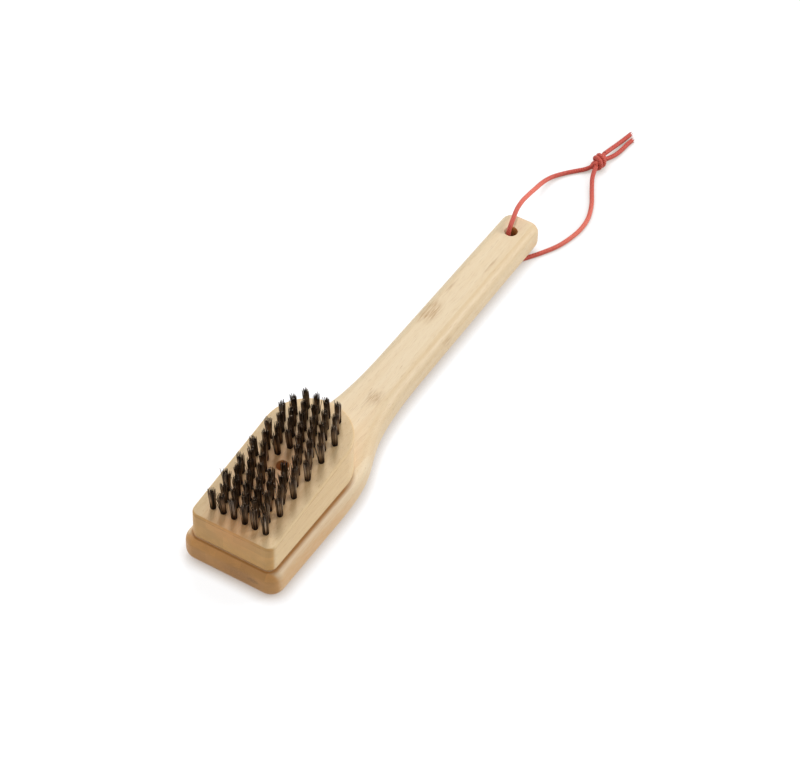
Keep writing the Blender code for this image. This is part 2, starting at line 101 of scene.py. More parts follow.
# The grid of tufts on the block's sloped face.
ROW_COUNT = 13
FIRST_ROW_FROM_FRONT = 0.012
LAST_ROW_FROM_REAR = 0.0121
TUFTS_IN_WIDE_ROW = 6
WIDE_ROW_FROM_SIDE = 0.0124
PITCHES_CLEAR_OF_SCREW = 1.2
TUFT_EDGE_MARGIN = 0.005
TUFT_HOLE_DIAMETER = 0.0042
TUFT_HOLE_DEPTH = 0.004

ROW_PITCH = (BLOCK_LENGTH - FIRST_ROW_FROM_FRONT - LAST_ROW_FROM_REAR) / (ROW_COUNT - 1)
TUFT_PITCH = 2 * (BLOCK_HALF_WIDTH - WIDE_ROW_FROM_SIDE) / (TUFTS_IN_WIDE_ROW - 1)
MIDDLE_ROW = FIRST_ROW_FROM_FRONT + ROW_PITCH * (ROW_COUNT // 2)
SCREW_X = BLOCK_SET_BACK + MIDDLE_ROW * math.cos(BLOCK_SLOPE) + SCREW_BEHIND_MIDDLE_ROW
BLOCK_ROUND_X = BLOCK_SET_BACK + BLOCK_LENGTH - BLOCK_HALF_WIDTH

# Cutters stand out of the faces that they cut by this much.
OVERCUT = 0.002
# Slab edges that turn by more than the first angle are rounded. What is left above the second stays crisp.
ROUNDED_ANGLE = math.radians(40)
CRISP_ANGLE = math.radians(35)

# The cord's routes, in millimetres on the table. They are the model's, moved by up to 2.5 mm near the knot
# and in the tails to follow the drawn knot's turns.
UPPER_STRAND_ROUTE = [
    (180.6, 0.8, 15.7), (180.6, 0.8, 20.7), (180.6, 0.8, 25.2), (181.4, 0.9, 28.5),
    (183.8, 1.4, 31.0), (187.2, 2.2, 32.0), (192.6, 3.7, 32.0), (199.9, 5.9, 31.4),
    (207.4, 8.0, 29.8), (220.5, 10.8, 25.7), (235.8, 13.4, 19.4), (250.3, 15.7, 13.1),
    (264.0, 17.5, 7.5), (274.3, 17.3, 4.3), (281.7, 15.4, 2.7), (290.9, 9.9, 1.9),
    (297.9, 3.9, 1.9), (302.6, -0.8, 2.4), (306.6, -3.9, 3.4),
]
LOWER_STRAND_ROUTE = [
    (180.6, 0.8, 15.4), (180.6, 0.8, 11.9), (180.6, 0.8, 8.5), (180.6, 0.0, 5.2),
    (180.9, -2.3, 2.7), (181.8, -5.6, 1.75), (184.4, -9.3, 1.75), (189.0, -12.7, 1.75),
    (201.1, -20.0, 1.75), (213.7, -26.2, 1.75), (227.1, -29.9, 1.75), (240.5, -31.5, 1.75),
    (254.0, -30.2, 1.75), (269.1, -24.9, 2.0), (282.8, -17.5, 2.8), (294.0, -11.6, 4.0),
    (301.6, -9.1, 4.9), (306.9, -7.9, 5.4),
]
LONG_TAIL_ROUTE = [
    (322.1, -6.9, 7.4), (327.0, -7.2, 6.3), (333.5, -7.6, 4.9), (341.8, -8.4, 3.5),
    (350.0, -9.3, 2.5), (359.0, -10.4, 1.9),
]
SHORT_TAIL_ROUTE = [
    (321.2, -9.4, 3.7), (326.0, -11.1, 2.9), (331.6, -12.6, 2.3), (340.2, -13.6, 1.8),
    (347.5, -14.0, 1.75), (353.6, -14.8, 1.75),
]
# A drawn route has a point at each step.
ROUTE_STEP = 0.2 * MM

# The knot's heading on the table, the angle round it at which a cord's turn starts, in degrees, the half
# width and half height of a turn, and how far the turns' middle lies off the model's knot, in millimetres.
KNOT_HEADING = -11
KNOT_FIRST_ANGLE = -60
KNOT_HALF_WIDTH = 4.4
KNOT_HALF_HEIGHT = 3.75
KNOT_BACK = 1.4
KNOT_RIGHT = 0.6

# Each lamp's name, heading and height in degrees, side of its square in metres, and setting.
LAMPS = (
    ("key_lamp", 34, 60, 0.55, "key_level"),
    ("side_lamp", -50, 27, 0.50, "side_level"),
    ("left_lamp", 112, 32, 1.20, "left_level"),
)
LAMP_DISTANCE = 2.2
SENSOR_WIDTH = 36.0


def length_setting(name, description, default):
    return FloatProperty(name=name, description=description, default=default, unit="LENGTH")


def angle_setting(name, description, degrees):
    return FloatProperty(name=name, description=description, default=math.radians(degrees), unit="ROTATION")


def share_setting(name, description, default):
    return FloatProperty(name=name, description=description, default=default, subtype="FACTOR")


def colour_setting(name, description, shade):
    return FloatVectorProperty(name=name, description=description, default=linear(shade), subtype="COLOR")


class StageSettings(bpy.types.PropertyGroup):
    """Camera, lamps and floor of the studio."""

    view_azimuth: angle_setting("View azimuth", "Heading of the camera's view, from +X towards +Y", 29.8436)
    view_elevation: angle_setting("View elevation", "How steeply the camera looks down", 45.7502)
    view_roll: angle_setting("View roll", "Clockwise turn of the picture", 2.425)
    view_distance: length_setting(
        "View distance", "From the camera to the point of the table in the picture's middle", 2.2168)
    view_target: FloatVectorProperty(
        name="View target", description="Point of the table in the picture's middle",
        default=(0.0247701, 0.0012811, 0.0), subtype="TRANSLATION", unit="LENGTH")
    lens: FloatProperty(
        name="Lens", description="Focal length on a 36 mm wide frame, in millimetres", default=135.0)
    floor_size: length_setting("Floor size", "Side of the square floor", 12.0)
    floor_colour: colour_setting("Floor colour", "Painted white tabletop", "e8e8e6")
    sky_level: share_setting("Room light", "Light from all round, as a share of full white", 0.36)
    key_level: share_setting("Key lamp", "Light from behind the brush, as a share of full white", 0.34)
    side_level: share_setting("Side lamp", "Light from the right, as a share of full white", 0.46)
    left_level: share_setting("Left lamp", "Light from the left, as a share of full white", 0.20)


class WoodSettings(bpy.types.PropertyGroup):
    """Shape and colours of the handle board and the brush block."""

    board_edge_round: length_setting("Board edge round", "Radius of the board's edges", 0.0084)
    block_edge_round: length_setting("Block edge round", "Radius of the block's edges", 0.0016)
    board_light: colour_setting("Board, pale strip", "Palest strip of the board's bamboo", "efdebf")
    board_dark: colour_setting("Board, deep strip", "Deepest strip of the board's bamboo", "dfc398")
    board_end: colour_setting("Board, end grain", "Oiled end grain of the board", "da9f5a")
    block_light: colour_setting("Block, pale strip", "Palest strip of the block's bamboo", "f2d9ae")
    block_dark: colour_setting("Block, deep strip", "Deepest strip of the block's bamboo", "e1bf8b")
    block_end: colour_setting("Block, end grain", "End grain of the block", "eab66f")


class TuftSettings(bpy.types.PropertyGroup):
    """Wires of the tufts."""

    # Drawn about twice as coarse as the real wires, which are some 0.3 mm thick and too fine to show.
    wires: IntProperty(name="Wires", description="Wire ends in one tuft", default=38, min=1)
    wire_diameter: length_setting("Wire diameter", "Diameter of one drawn wire", 0.0006)
    height: length_setting("Height", "How far the wires stand out of the wood", 0.0205)
    root_radius: length_setting("Root radius", "Radius of a tuft where it leaves the wood", 0.0020)
    tip_radius: length_setting("Tip radius", "Radius that a tuft spreads to", 0.0027)
    steel: colour_setting("Wire colour", "Drawn steel under its thin scale", "ac957b")
    # The tip colour is painted shade and dark reflections among the wire ends.
    tip_colour: colour_setting("Tip colour", "Scale left thick at the bent tips", "3a2616")


class CordSettings(bpy.types.PropertyGroup):
    """The hanging cord."""

    diameter: length_setting("Cord diameter", "Over the braid", 0.0035)
    yarn_depth: length_setting("Yarn depth", "Depth of the grooves between the yarns", 0.00045)
    yarn_pitch: length_setting("Yarn pitch", "From one yarn to the next along the cord", 0.0014)
    loose_yarns: IntProperty(name="Loose yarns", description="Fibres at a cut end", default=26, min=1)
    fray_length: length_setting("Fray length", "How far the loose yarns reach past a cut", 0.0024)
    colour: colour_setting("Cord colour", "Red dyed cotton", "f2694f")
    groove_colour: colour_setting(
        "Groove colour", "Red between the plaits, where little light gets in", "941c18")


def fill_inputs(item, inputs):
    """Link a node's inputs to sockets or set their values, by name or number. Colours are opaque."""
    for name, value in inputs.items():
        socket = item.inputs[name]
        if isinstance(value, bpy.types.NodeSocket):
            item.id_data.links.new(value, socket)
        else:
            socket.default_value = (*value, 1.0) if socket.type == "RGBA" else value


def add_node(tree, kind, *values, inputs=None, out=0, **settings):
    """Add a shader node and return one of its outputs, or the node itself where out is None. A word after
    its kind is its operation. The values fill its first inputs in order: a MapRange's are its value, the
    range it comes from and the one it goes to."""
    kind, *operation = kind.split()
    item = tree.nodes.new("ShaderNode" + kind)
    if operation:
        item.operation = operation[0]
    for name, value in settings.items():
        setattr(item, name, value)
    fill_inputs(item, {**dict(enumerate(values)), **(inputs or {})})
    return item if out is None else item.outputs[out]


def new_material(name):
    """Start a material. Returns it with a function that adds nodes to it, and its Principled shader."""
    material = bpy.data.materials.new(name)
    material.use_nodes = True
    material.node_tree.nodes.clear()
    add = partial(add_node, material.node_tree)
    shader = add("BsdfPrincipled", out=None)
    add("OutputMaterial", shader.outputs[0], out=None)
    return material, add, shader


def block_top(x):
    """Height of the block's sloped face in the board's frame."""
    return BOARD_THICKNESS + BLOCK_FRONT_HEIGHT + (x - BLOCK_SET_BACK) * math.tan(BLOCK_SLOPE)


def joint_shade(add, mm):
    """Painted shade in the open joint round the foot of the block, where the gap and the board's rounded
    edge lie in shadow, with a little squeezed-out glue, as a share from 0 to 1. The block's outline is a
    bar with small round corners in front and a half round behind."""
    place = add("VectorMath ABSOLUTE", mm)
    outside = []
    for onwards, centre_x, centre_y, radius in (
        (-1, BLOCK_SET_BACK + BLOCK_CORNER, BLOCK_HALF_WIDTH - BLOCK_CORNER, BLOCK_CORNER),
        (1, BLOCK_ROUND_X, 0.0, BLOCK_HALF_WIDTH),
    ):
        centre = (-onwards * centre_x / MM, -centre_y / MM, 0.0)
        past = add("VectorMath MULTIPLY_ADD", place, (onwards, 1, 0), centre)
        past = add("VectorMath MAXIMUM", past, (0, 0, 0))
        past = add("VectorMath LENGTH", past, out="Value")
        outside.append(add("Math SUBTRACT", past, radius / MM))
    off = add("Math MAXIMUM", *outside)
    off = add("Math ABSOLUTE", off)
    # It shows 1 mm wide in front and 3 mm wide at the sides, where the rounded board edge drops away.
    x, y, z = add("SeparateXYZ", place, out=None).outputs
    reach = add("MapRange", y, 31.0, 34.3, 1.1, 3.2)
    near = add("MapRange", off, 0.2, reach, 0.9, 0.0, interpolation_type="SMOOTHSTEP")
    fading = add("MapRange", x, 96.0, 118.0, 1.0, 0.0)
    above = add("Math GREATER_THAN", z, 19.0)
    share = add("Math MULTIPLY", near, fading)
    return add("Math MULTIPLY", share, above)


def rim_line(add, mm):
    """A fine brown line under the block's top rim, on its upright faces, as a share from 0 to 1."""
    x, _, z = add("SeparateXYZ", mm, out=None).outputs
    # The line is about 0.4 mm wide and lies 1.7 mm below the rim.
    line = add("Math MULTIPLY_ADD", x, math.tan(BLOCK_SLOPE), block_top(0.0) / MM - 1.7)
    off = add("Math SUBTRACT", line, z)
    off = add("Math ABSOLUTE", off)
    near = add("MapRange", off, 0.1, 0.55, 1.0, 0.0)
    place = add("VectorMath MULTIPLY", mm, (1 / 9, 1 / 9, 1 / 3))
    patchy = add("TexNoise", place, inputs={"Scale": 1.0, "Detail": 2.0})
    strength = add("MapRange", patchy, 0.35, 0.6, 0.05, 0.5)
    facing_up = add("SeparateXYZ", add("TexCoord", out="Normal"), out="Z")
    upright = add("Math LESS_THAN", facing_up, 0.6)
    share = add("Math MULTIPLY", near, strength)
    return add("Math MULTIPLY", share, upright)


def bamboo(name, wood_light, wood_dark, wood_end, strip_width, layer_heights, marks, dark_line):
    """Laminated bamboo, planed, sanded and oiled: long straight fibres in strips of slightly unlike tone,
    small dark pore dashes, brown growth nodes, deeper end grain and a soft satin sheen."""
    material, add, shader = new_material(name)
    place = add("TexCoord", out=None)
    mm = add("VectorMath SCALE", place.outputs["Object"], inputs={"Scale": 1 / MM})

    # The grain wanders by about a millimetre over a hand's breadth.
    stretched = add("VectorMath MULTIPLY", mm, (1 / 110, 1 / 30, 1 / 30))
    wander = add("TexNoise", stretched, inputs={"Scale": 1.0, "Detail": 1.0}, out="Color")
    wander = add("VectorMath SUBTRACT", wander, (0.5, 0.5, 0.5))
    grain = add("VectorMath MULTIPLY_ADD", wander, (0.0, 2.2, 2.2), mm)

    # Strips lie side by side in layers, each with its own tone.
    _, y, z = add("SeparateXYZ", mm, out=None).outputs
    layer = 0.0
    for height in layer_heights:
        above = add("Math GREATER_THAN", z, height / MM)
        layer = add("Math ADD", above, layer)
    staggered = add("Math MULTIPLY_ADD", layer, 0.37, -0.263)
    across = add("Math MULTIPLY_ADD", y, MM / strip_width, staggered)
    strip = add("Math FLOOR", across)
    tone = add("TexWhiteNoise", add("CombineXYZ", strip, layer), noise_dimensions="3D")

    # Fibre bundles show as broad soft streaks of about 3 mm and fine ones of about 0.4 mm, cut vessels as
    # dashes about 0.25 mm wide and 6 mm long, and fibre ends as dots. Lengths are in millimetres.
    noise = {}
    for pattern, followed, size, detail in (
        ("broad", grain, (140, 3.2, 3.2), 2.0), ("fine", grain, (28, 0.42, 0.42), 3.0),
        ("dashes", grain, (8, 0.3, 0.3), 1.0), ("streaks", grain, (9, 0.8, 0.8), 3.0),
        ("dots", mm, (6, 0.7, 0.7), 2.0), ("patches", mm, (30, 11, 7), 2.0),
    ):
        scaled = add("VectorMath MULTIPLY", followed, tuple(1 / length for length in size))
        noise[pattern] = add("TexNoise", scaled, inputs={"Scale": 1.0, "Detail": detail})
    depth = -0.16
    for part, weight in ((tone, 0.42), (noise["broad"], 0.75), (noise["fine"], 0.35)):
        depth = add("Math MULTIPLY_ADD", part, weight, depth)
    colour = add("Mix", depth, inputs={6: wood_light, 7: wood_dark}, out=2, data_type="RGBA")
    pores = add("MapRange", noise["dashes"], 0.60, 0.76, 0.0, 0.45)
    darker = {6: colour, 7: linear("bd9a6a")}
    colour = add("Mix", pores, inputs=darker, out=2, data_type="RGBA", blend_type="MULTIPLY")

    # End grain drinks more oil, so faces across the fibres are deeper and dotted with fibre ends. End grain
    # that faces the grip's end, towards the key lamp, is painted paler than end grain that faces the front:
    # painted light and shade.
    facing = add("SeparateXYZ", place.outputs["Normal"], out="X")
    endwise = add("Math MULTIPLY", facing, facing)
    painted_end_shade = add("MapRange", facing, -0.1, 0.1, 1.0, 0.3)
    end_share = add("MapRange", endwise, 0.03, 0.32, 0.0, painted_end_shade, interpolation_type="SMOOTHSTEP")
    end_tone = 0.0
    for part, weight in ((noise["patches"], 0.9), (noise["dots"], 0.35), (tone, 0.6)):
        end_tone = add("Math MULTIPLY_ADD", part, weight, end_tone)
    end_tone = add("MapRange", end_tone, 0.5, 1.1)
    deeper = {6: wood_end, 7: [0.78 * c for c in wood_end]}
    layers = [(end_share, add("Mix", end_tone, inputs=deeper, out=2, data_type="RGBA"))]

    # Growth nodes of the cane are brown smudges broken up by the fibres, and wide marks lie evenly. Some
    # marks are painted shade: the dark insides of holes and the warm shade among the tufts.
    broken = add("MapRange", noise["streaks"], 0.36, 0.66)
    for centre, reach, strength, mark_colour in marks:
        offset = add("VectorMath SUBTRACT", grain, tuple(c / MM for c in centre))
        offset = add("VectorMath MULTIPLY", offset, tuple(MM / r for r in reach))
        distance = add("VectorMath LENGTH", offset, out="Value")
        spot = add("MapRange", distance, 0.2, 1.0, strength, 0.0, interpolation_type="SMOOTHSTEP")
        evenness = 0.65 if reach[0] > 0.05 else 0.0
        patterned = add("Math MULTIPLY_ADD", broken, 1.0 - evenness, evenness)
        layers.append((add("Math MULTIPLY", spot, patterned), linear(mark_colour)))
    # The dark line is painted shade in the board's joint, and the block's fine brown rim line.
    layers.append((dark_line(add, mm), linear("a3680f")))
    for share, over in layers:
        colour = add("Mix", share, inputs={6: colour, 7: over}, out=2, data_type="RGBA")

    relief = add("Math MULTIPLY_ADD", pores, -0.8, noise["fine"])
    bump = add("Bump", inputs={"Height": relief, "Strength": 0.35, "Distance": 0.00012})
    satin = add("MapRange", noise["fine"], 0.3, 0.7, 0.42, 0.56)
    fill_inputs(shader, {"Base Color": colour, "Roughness": satin, "Normal": bump})
    return material


def drawn_steel_wire(settings):
    """Hard-drawn carbon steel wire that kept its dark drawing scale: dull grey-brown along the wire, nearly
    black at the root, painted nearly black at the tips as the shade and dark reflections among the wire
    ends, and here and there one wire painted pale as a glint."""
    material, add, shader = new_material("drawn_steel_wire")
    height = add("SeparateXYZ", add("TexCoord", out="Object"), out="Z")
    along = add("MapRange", height, 0.0, settings.height)
    # Colour along the wire: nearly black at the root, steel in the middle, painted shade towards the tips.
    scale = add("ValToRGB", along, out=None)
    stops = scale.color_ramp.elements
    stops[0].color = (*linear("1d120b"), 1.0)
    stops[1].color = (*settings.tip_colour, 1.0)
    for position, colour in (
        (0.07, linear("2c1d13")), (0.2, linear("604c39")), (0.5, settings.steel), (0.8, linear("7f6750")),
    ):
        stops.new(position).color = (*colour, 1.0)
    wire = add("NewGeometry", out="Random Per Island")
    uneven = add("MapRange", wire, 0.0, 1.0, 0.02, 1.5)
    toned = {6: scale.outputs["Color"], 7: uneven}
    colour = add("Mix", 1.0, inputs=toned, out=2, data_type="RGBA", blend_type="MULTIPLY")
    # A few wires are painted pale along most of their length, as glints.
    painted_light = add("MapRange", wire, 0.86, 0.9)
    above_root = add("MapRange", along, 0.2, 0.4, 0.0, 0.6)
    glint = add("Math MULTIPLY", painted_light, above_root)
    colour = add("Mix", glint, inputs={6: colour, 7: linear("c2b9ad")}, out=2, data_type="RGBA")
    fill_inputs(shader, {"Base Color": colour, "Metallic": 0.9, "Roughness": 0.4})
    return material


def zinc_plate():
    """Steel electroplated with zinc and passivated: bluish grey metal, evenly dull, faintly mottled."""
    material, add, shader = new_material("zinc_plated_steel")
    place = add("TexCoord", out="Object")
    spangle = add("TexNoise", place, inputs={"Scale": 1 / (1.2 * MM), "Detail": 3.0})
    greys = {6: linear("b9bcbe"), 7: linear("8f9396")}
    colour = add("Mix", spangle, inputs=greys, out=2, data_type="RGBA")
    dull = add("MapRange", spangle, 0.0, 1.0, 0.28, 0.46)
    fill_inputs(shader, {"Base Color": colour, "Metallic": 1.0, "Roughness": dull})
    return material


def turned_beech():
    """Beech, turned to a rod and left raw: pinkish tan, even, with short fine rays."""
    material, add, shader = new_material("turned_beech")
    ray_size = (0.5 * MM, 0.5 * MM, 3 * MM)
    place = add("TexCoord", out="Object")
    place = add("VectorMath MULTIPLY", place, tuple(1 / length for length in ray_size))
    rays = add("TexNoise", place, inputs={"Scale": 1.0, "Detail": 2.0})
    tans = {6: linear("d9b48b"), 7: linear("b98a5f")}
    colour = add("Mix", rays, inputs=tans, out=2, data_type="RGBA")
    bump = add("Bump", inputs={"Height": rays, "Strength": 0.3, "Distance": 0.0001})
    fill_inputs(shader, {"Base Color": colour, "Normal": bump, "Roughness": 0.6})
    return material


def waxed_cotton(settings):
    """Cotton yarn dyed red, braided and drawn through wax: coral on the crown of each plait and painted deep
    red in the grooves as their shade, with a faint waxy sheen over the yarn's own nap."""
    material, add, shader = new_material("waxed_cotton_braid")
    crown = add("Attribute", out="Fac", attribute_name="plait")
    place = add("TexCoord", out="Object")
    yarn, wear = (
        add("TexNoise", place, inputs={"Scale": 1 / (size * MM), "Detail": 2.0}) for size in (0.35, 6)
    )
    height = add("Math MULTIPLY_ADD", yarn, 0.5, crown)
    lit = add("MapRange", height, 0.42, 1.05)
    reds = {6: settings.groove_colour, 7: settings.colour}
    colour = add("Mix", lit, inputs=reds, out=2, data_type="RGBA")
    worn = add("MapRange", wear, 0.45, 0.75, 0.0, 0.25)
    colour = add("Mix", worn, inputs={6: colour, 7: linear("e07a68")}, out=2, data_type="RGBA")
    # Painted light and shade along the cord: pale in the middle of the loop, and deep red towards the hole,
    # the knot and the tails. Lengths are in metres.
    along = add("SeparateXYZ", place, out="X")
    away = add("Math SUBTRACT", along, 0.237)
    away = add("Math ABSOLUTE", away)
    away = add("MapRange", away, 0.012, 0.056)
    painted_light = {6: linear("ec7f69"), 7: linear("a4261f")}
    tone = add("Mix", away, inputs=painted_light, out=2, data_type="RGBA")
    colour = add("Mix", 0.42, inputs={6: colour, 7: tone}, out=2, data_type="RGBA")
    bump = add("Bump", inputs={"Height": yarn, "Strength": 0.4, "Distance": 0.0001})
    fill_inputs(shader, {"Base Color": colour, "Normal": bump, "Roughness": 0.55})
    fill_inputs(shader, {"Sheen Weight": 0.3, "Sheen Roughness": 0.4})
    return material


def seen_by_eye(add):
    """One where a surface is seen directly, in a reflection or through glass, and zero for other light."""
    path = add("LightPath", out=None)
    seen = path.outputs["Is Camera Ray"]
    for ray in ("Is Glossy Ray", "Is Transmission Ray"):
        seen = add("Math MAXIMUM", seen, path.outputs[ray])
    return seen


def painted_tabletop(settings):
    """White lacquered board: blows out to plain white in the picture and keeps only the soft shadow."""
    material, add, shader = new_material("painted_tabletop")
    fill_inputs(shader, {"Base Color": settings.floor_colour, "Roughness": 0.8, "Specular IOR Level": 0.0})
    shaded = add("BsdfDiffuse", linear("8a8a8c"))
    # Close to the wood the table sees little of the room, so the shadow is darkest in a narrow line.
    openness = add("AmbientOcclusion", inputs={"Distance": 0.0095}, out="AO", samples=6)
    openness = add("MapRange", openness, 0.2, 0.93)
    strength = add("Math MULTIPLY_ADD", openness, 0.5, 0.37)
    # What light is left there comes off the wood, so it is a little warmer.
    tints = {6: linear("fff0e2"), 7: linear("ffffff")}
    tint = add("Mix", openness, inputs=tints, out=2, data_type="RGBA")
    bright = add("AddShader", shaded, add("Emission", tint, strength))
    both = add("MixShader", seen_by_eye(add), shader.outputs[0], bright)
    output = next(n for n in material.node_tree.nodes if n.type == "OUTPUT_MATERIAL")
    fill_inputs(output, {"Surface": both})
    return material


def board_matrix():
    """Place of the board's frame: pivoted on its rounded front edge, its far end raised by the cord."""
    underside = next(m for m in frame["record"]["mounts"] if m["name"] == "underside")
    pitch = math.asin(underside["axis"][0])
    edge_round = bpy.context.scene.brush_wood.board_edge_round
    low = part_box("handle_board")[0]
    lean_back = (BOARD_THICKNESS - 2 * edge_round) * math.sin(pitch)
    pivot = Vector((low.x + lean_back + edge_round, 0.0, edge_round))
    offset = Matrix.Translation((-edge_round, 0.0, -edge_round))
    return Matrix.Translation(pivot) @ Matrix.Rotation(-pitch, 4, "Y") @ offset


def slope_matrix():
    """The block's sloped face seen from the board: origin at its front edge, +Z out of the face."""
    corner = Matrix.Translation((BLOCK_SET_BACK, 0.0, BOARD_THICKNESS + BLOCK_FRONT_HEIGHT))
    return corner @ Matrix.Rotation(-BLOCK_SLOPE, 4, "Y")


def add_object(name, data):
    """Put an object with this data into the scene."""
    item = bpy.data.objects.new(name, data)
    bpy.context.scene.collection.objects.link(item)
    return item


def link_piece(name, mesh, material, slot, *nodes, place=Matrix()):
    """Show a mesh at its place, riding on the brush and standing for its nodes."""
    piece = add_object(name, mesh)
    piece.matrix_world = place
    mesh.materials.append(material)
    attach(piece, ROOT)
    if nodes:
        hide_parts(*nodes)
    return piece


def arc_points(centre, radius, start, end, steps):
    """Points on an arc, from the start angle to the end angle, in degrees."""
    angles = [math.radians(start + (end - start) * i / steps) for i in range(steps + 1)]
    return [(centre[0] + radius * math.cos(a), centre[1] + radius * math.sin(a)) for a in angles]


def bezier_points(corners, steps):
    """Points on the cubic curve with these four corners."""
    points = []
    for i in range(steps + 1):
        t = i / steps
        weights = ((1 - t) ** 3, 3 * t * (1 - t) ** 2, 3 * t * t * (1 - t), t ** 3)
        points.append(tuple(sum(w * c[axis] for w, c in zip(weights, corners)) for axis in (0, 1)))
    return points


def board_outline():
    """The handle board seen from above: paddle, shoulder and tapering grip."""
    half_width = 0.0398
    paddle_corner = 0.0108
    shoulder_start = 0.0829
    shoulder_end = 0.2313
    shoulder_pull_front = 0.0744
    shoulder_pull_back = 0.1071
    neck = 0.0172
    grip_end = 0.0157
    grip_corner = 0.0090
    taper = (grip_end - neck) / (BOARD_LENGTH - shoulder_end)
    front = arc_points((paddle_corner, half_width - paddle_corner), paddle_corner, 180, 90, steps=16)
    shoulder = bezier_points((
        (shoulder_start, half_width), (shoulder_start + shoulder_pull_front, half_width),
        (shoulder_end - shoulder_pull_back, neck - taper * shoulder_pull_back), (shoulder_end, neck),
    ), steps=60)
    end = arc_points((BOARD_LENGTH - grip_corner, grip_end - grip_corner), grip_corner, 90, 0, steps=16)
    half = front + shoulder + end
    return half + [(x, -y) for x, y in reversed(half)]


def block_outline():
    """The brush block seen from above: straight front with small corners, half-round rear."""
    corner = BLOCK_CORNER
    front = arc_points((BLOCK_SET_BACK + corner, BLOCK_HALF_WIDTH - corner), corner, 180, 90, steps=12)
    rear = arc_points((BLOCK_ROUND_X, 0.0), BLOCK_HALF_WIDTH, 90, -90, steps=72)
    return front + rear + [(x, -y) for x, y in reversed(front)]


def finished(bm, name):
    """Turn a bmesh into a mesh with its faces pointing out."""
    bmesh.ops.recalc_face_normals(bm, faces=bm.faces)
    mesh = bpy.data.meshes.new(name)
    bm.to_mesh(mesh)
    bm.free()
    return mesh


def slab(name, outline, floor, ceiling):
    """A closed slab on an outline. Its ceiling is a function of x, so that it may slope."""
    bm = bmesh.new()
    low = [bm.verts.new((x, y, floor)) for x, y in outline]
    high = [bm.verts.new((x, y, ceiling(x))) for x, y in outline]
    bm.faces.new(low)
    bm.faces.new(high)
    for i, vertex in enumerate(low):
        j = (i + 1) % len(low)
        bm.faces.new((vertex, low[j], high[j], high[i]))
    return finished(bm, name)


def round_and_cut(mesh, cutter, radius, segments):
    """Round a slab's rims, cut its holes, and return the mesh that comes of it."""
    body = add_object(mesh.name + "_blank", mesh)
    tool = add_object(mesh.name + "_holes", cutter)
    rounding = body.modifiers.new("round_rims", "BEVEL")
    rounding.width = radius
    rounding.segments = segments
    rounding.limit_method = "ANGLE"
    rounding.angle_limit = ROUNDED_ANGLE
    cutting = body.modifiers.new("cut_holes", "BOOLEAN")
    cutting.operation = "DIFFERENCE"
    cutting.object = tool
    cutting.solver = "EXACT"
    depsgraph = bpy.context.evaluated_depsgraph_get()
    result = bpy.data.meshes.new_from_object(body.evaluated_get(depsgraph))
    for item in (body, tool):
        bpy.data.objects.remove(item, do_unlink=True)
    result.name = mesh.name + "_cut"
    result.shade_smooth()
    result.set_sharp_from_angle(angle=CRISP_ANGLE)
    return result


def link_wood(name, mesh, material, slot, node):
    """Show a bamboo piece. Its broad flat faces set the shading where they meet a rounded rim."""
    piece = link_piece(name, mesh, material, slot, node, place=board_matrix())
    weighting = piece.modifiers.new("keep_flats_flat", "WEIGHTED_NORMAL")
    weighting.keep_sharp = True
    weighting.weight = 100


def add_hole(bm, diameter, low, high, place, segments=32):
    """Add a round cutter along its place's Z, from low to high."""
    middle = Matrix.Translation((0.0, 0.0, (low + high) / 2))
    bmesh.ops.create_cone(
        bm, cap_ends=True, segments=segments, radius1=diameter / 2, radius2=diameter / 2,
        depth=high - low, matrix=place @ middle,
    )


def add_dowel_holes(bm, low, high):
    for from_screw in DOWELS_FROM_SCREW:
        add_hole(bm, DOWEL_HOLE_DIAMETER, low, high, Matrix.Translation((SCREW_X + from_screw, 0.0, 0.0)))


def add_turned(bm, profile, x, segments=48):
    """Add a closed upright turned cutter. The profile holds radius and height, and runs upwards."""
    turns = [2 * math.pi * i / segments for i in range(segments)]
    rings = [
        [bm.verts.new((x + radius * math.cos(a), radius * math.sin(a), z)) for a in turns]
        for radius, z in profile
    ]
    for below, above in zip(rings, rings[1:]):
        for i in range(segments):
            j = (i + 1) % segments
            bm.faces.new((below[i], below[j], above[j], above[i]))
    bm.faces.new(list(reversed(rings[0])))
    bm.faces.new(rings[-1])


def tuft_is_wanted(x, y):
    """Whether a tuft at this place on the sloped face has room, clear of the edge and of the screw."""
    plan_x = BLOCK_SET_BACK + x * math.cos(BLOCK_SLOPE)
    if math.hypot((plan_x - SCREW_X) / ROW_PITCH, y / TUFT_PITCH) < PITCHES_CLEAR_OF_SCREW:
        return False
    if plan_x > BLOCK_ROUND_X:
        edge = BLOCK_HALF_WIDTH - math.hypot(plan_x - BLOCK_ROUND_X, y)
    else:
        edge = min(BLOCK_HALF_WIDTH - abs(y), plan_x - BLOCK_SET_BACK)
    return edge > TUFT_EDGE_MARGIN


def tuft_rows():
    """Each row's node name and the places of its tufts on the sloped face."""
    rows = {}
    for row in range(ROW_COUNT):
        x = FIRST_ROW_FROM_FRONT + row * ROW_PITCH
        count = TUFTS_IN_WIDE_ROW - row % 2
        places = [(i - (count - 1) / 2) * TUFT_PITCH for i in range(count)]
        places = [y for y in places if tuft_is_wanted(x, y)]
        name = f"tuft_row_{row + 1:02d}"
        if any(b - a > 1.5 * TUFT_PITCH for a, b in zip(places, places[1:])):
            rows[name + "_right"] = [(x, y) for y in places if y < 0]
            rows[name + "_left"] = [(x, y) for y in places if y > 0]
        else:
            rows[name] = [(x, y) for y in places]
    return rows


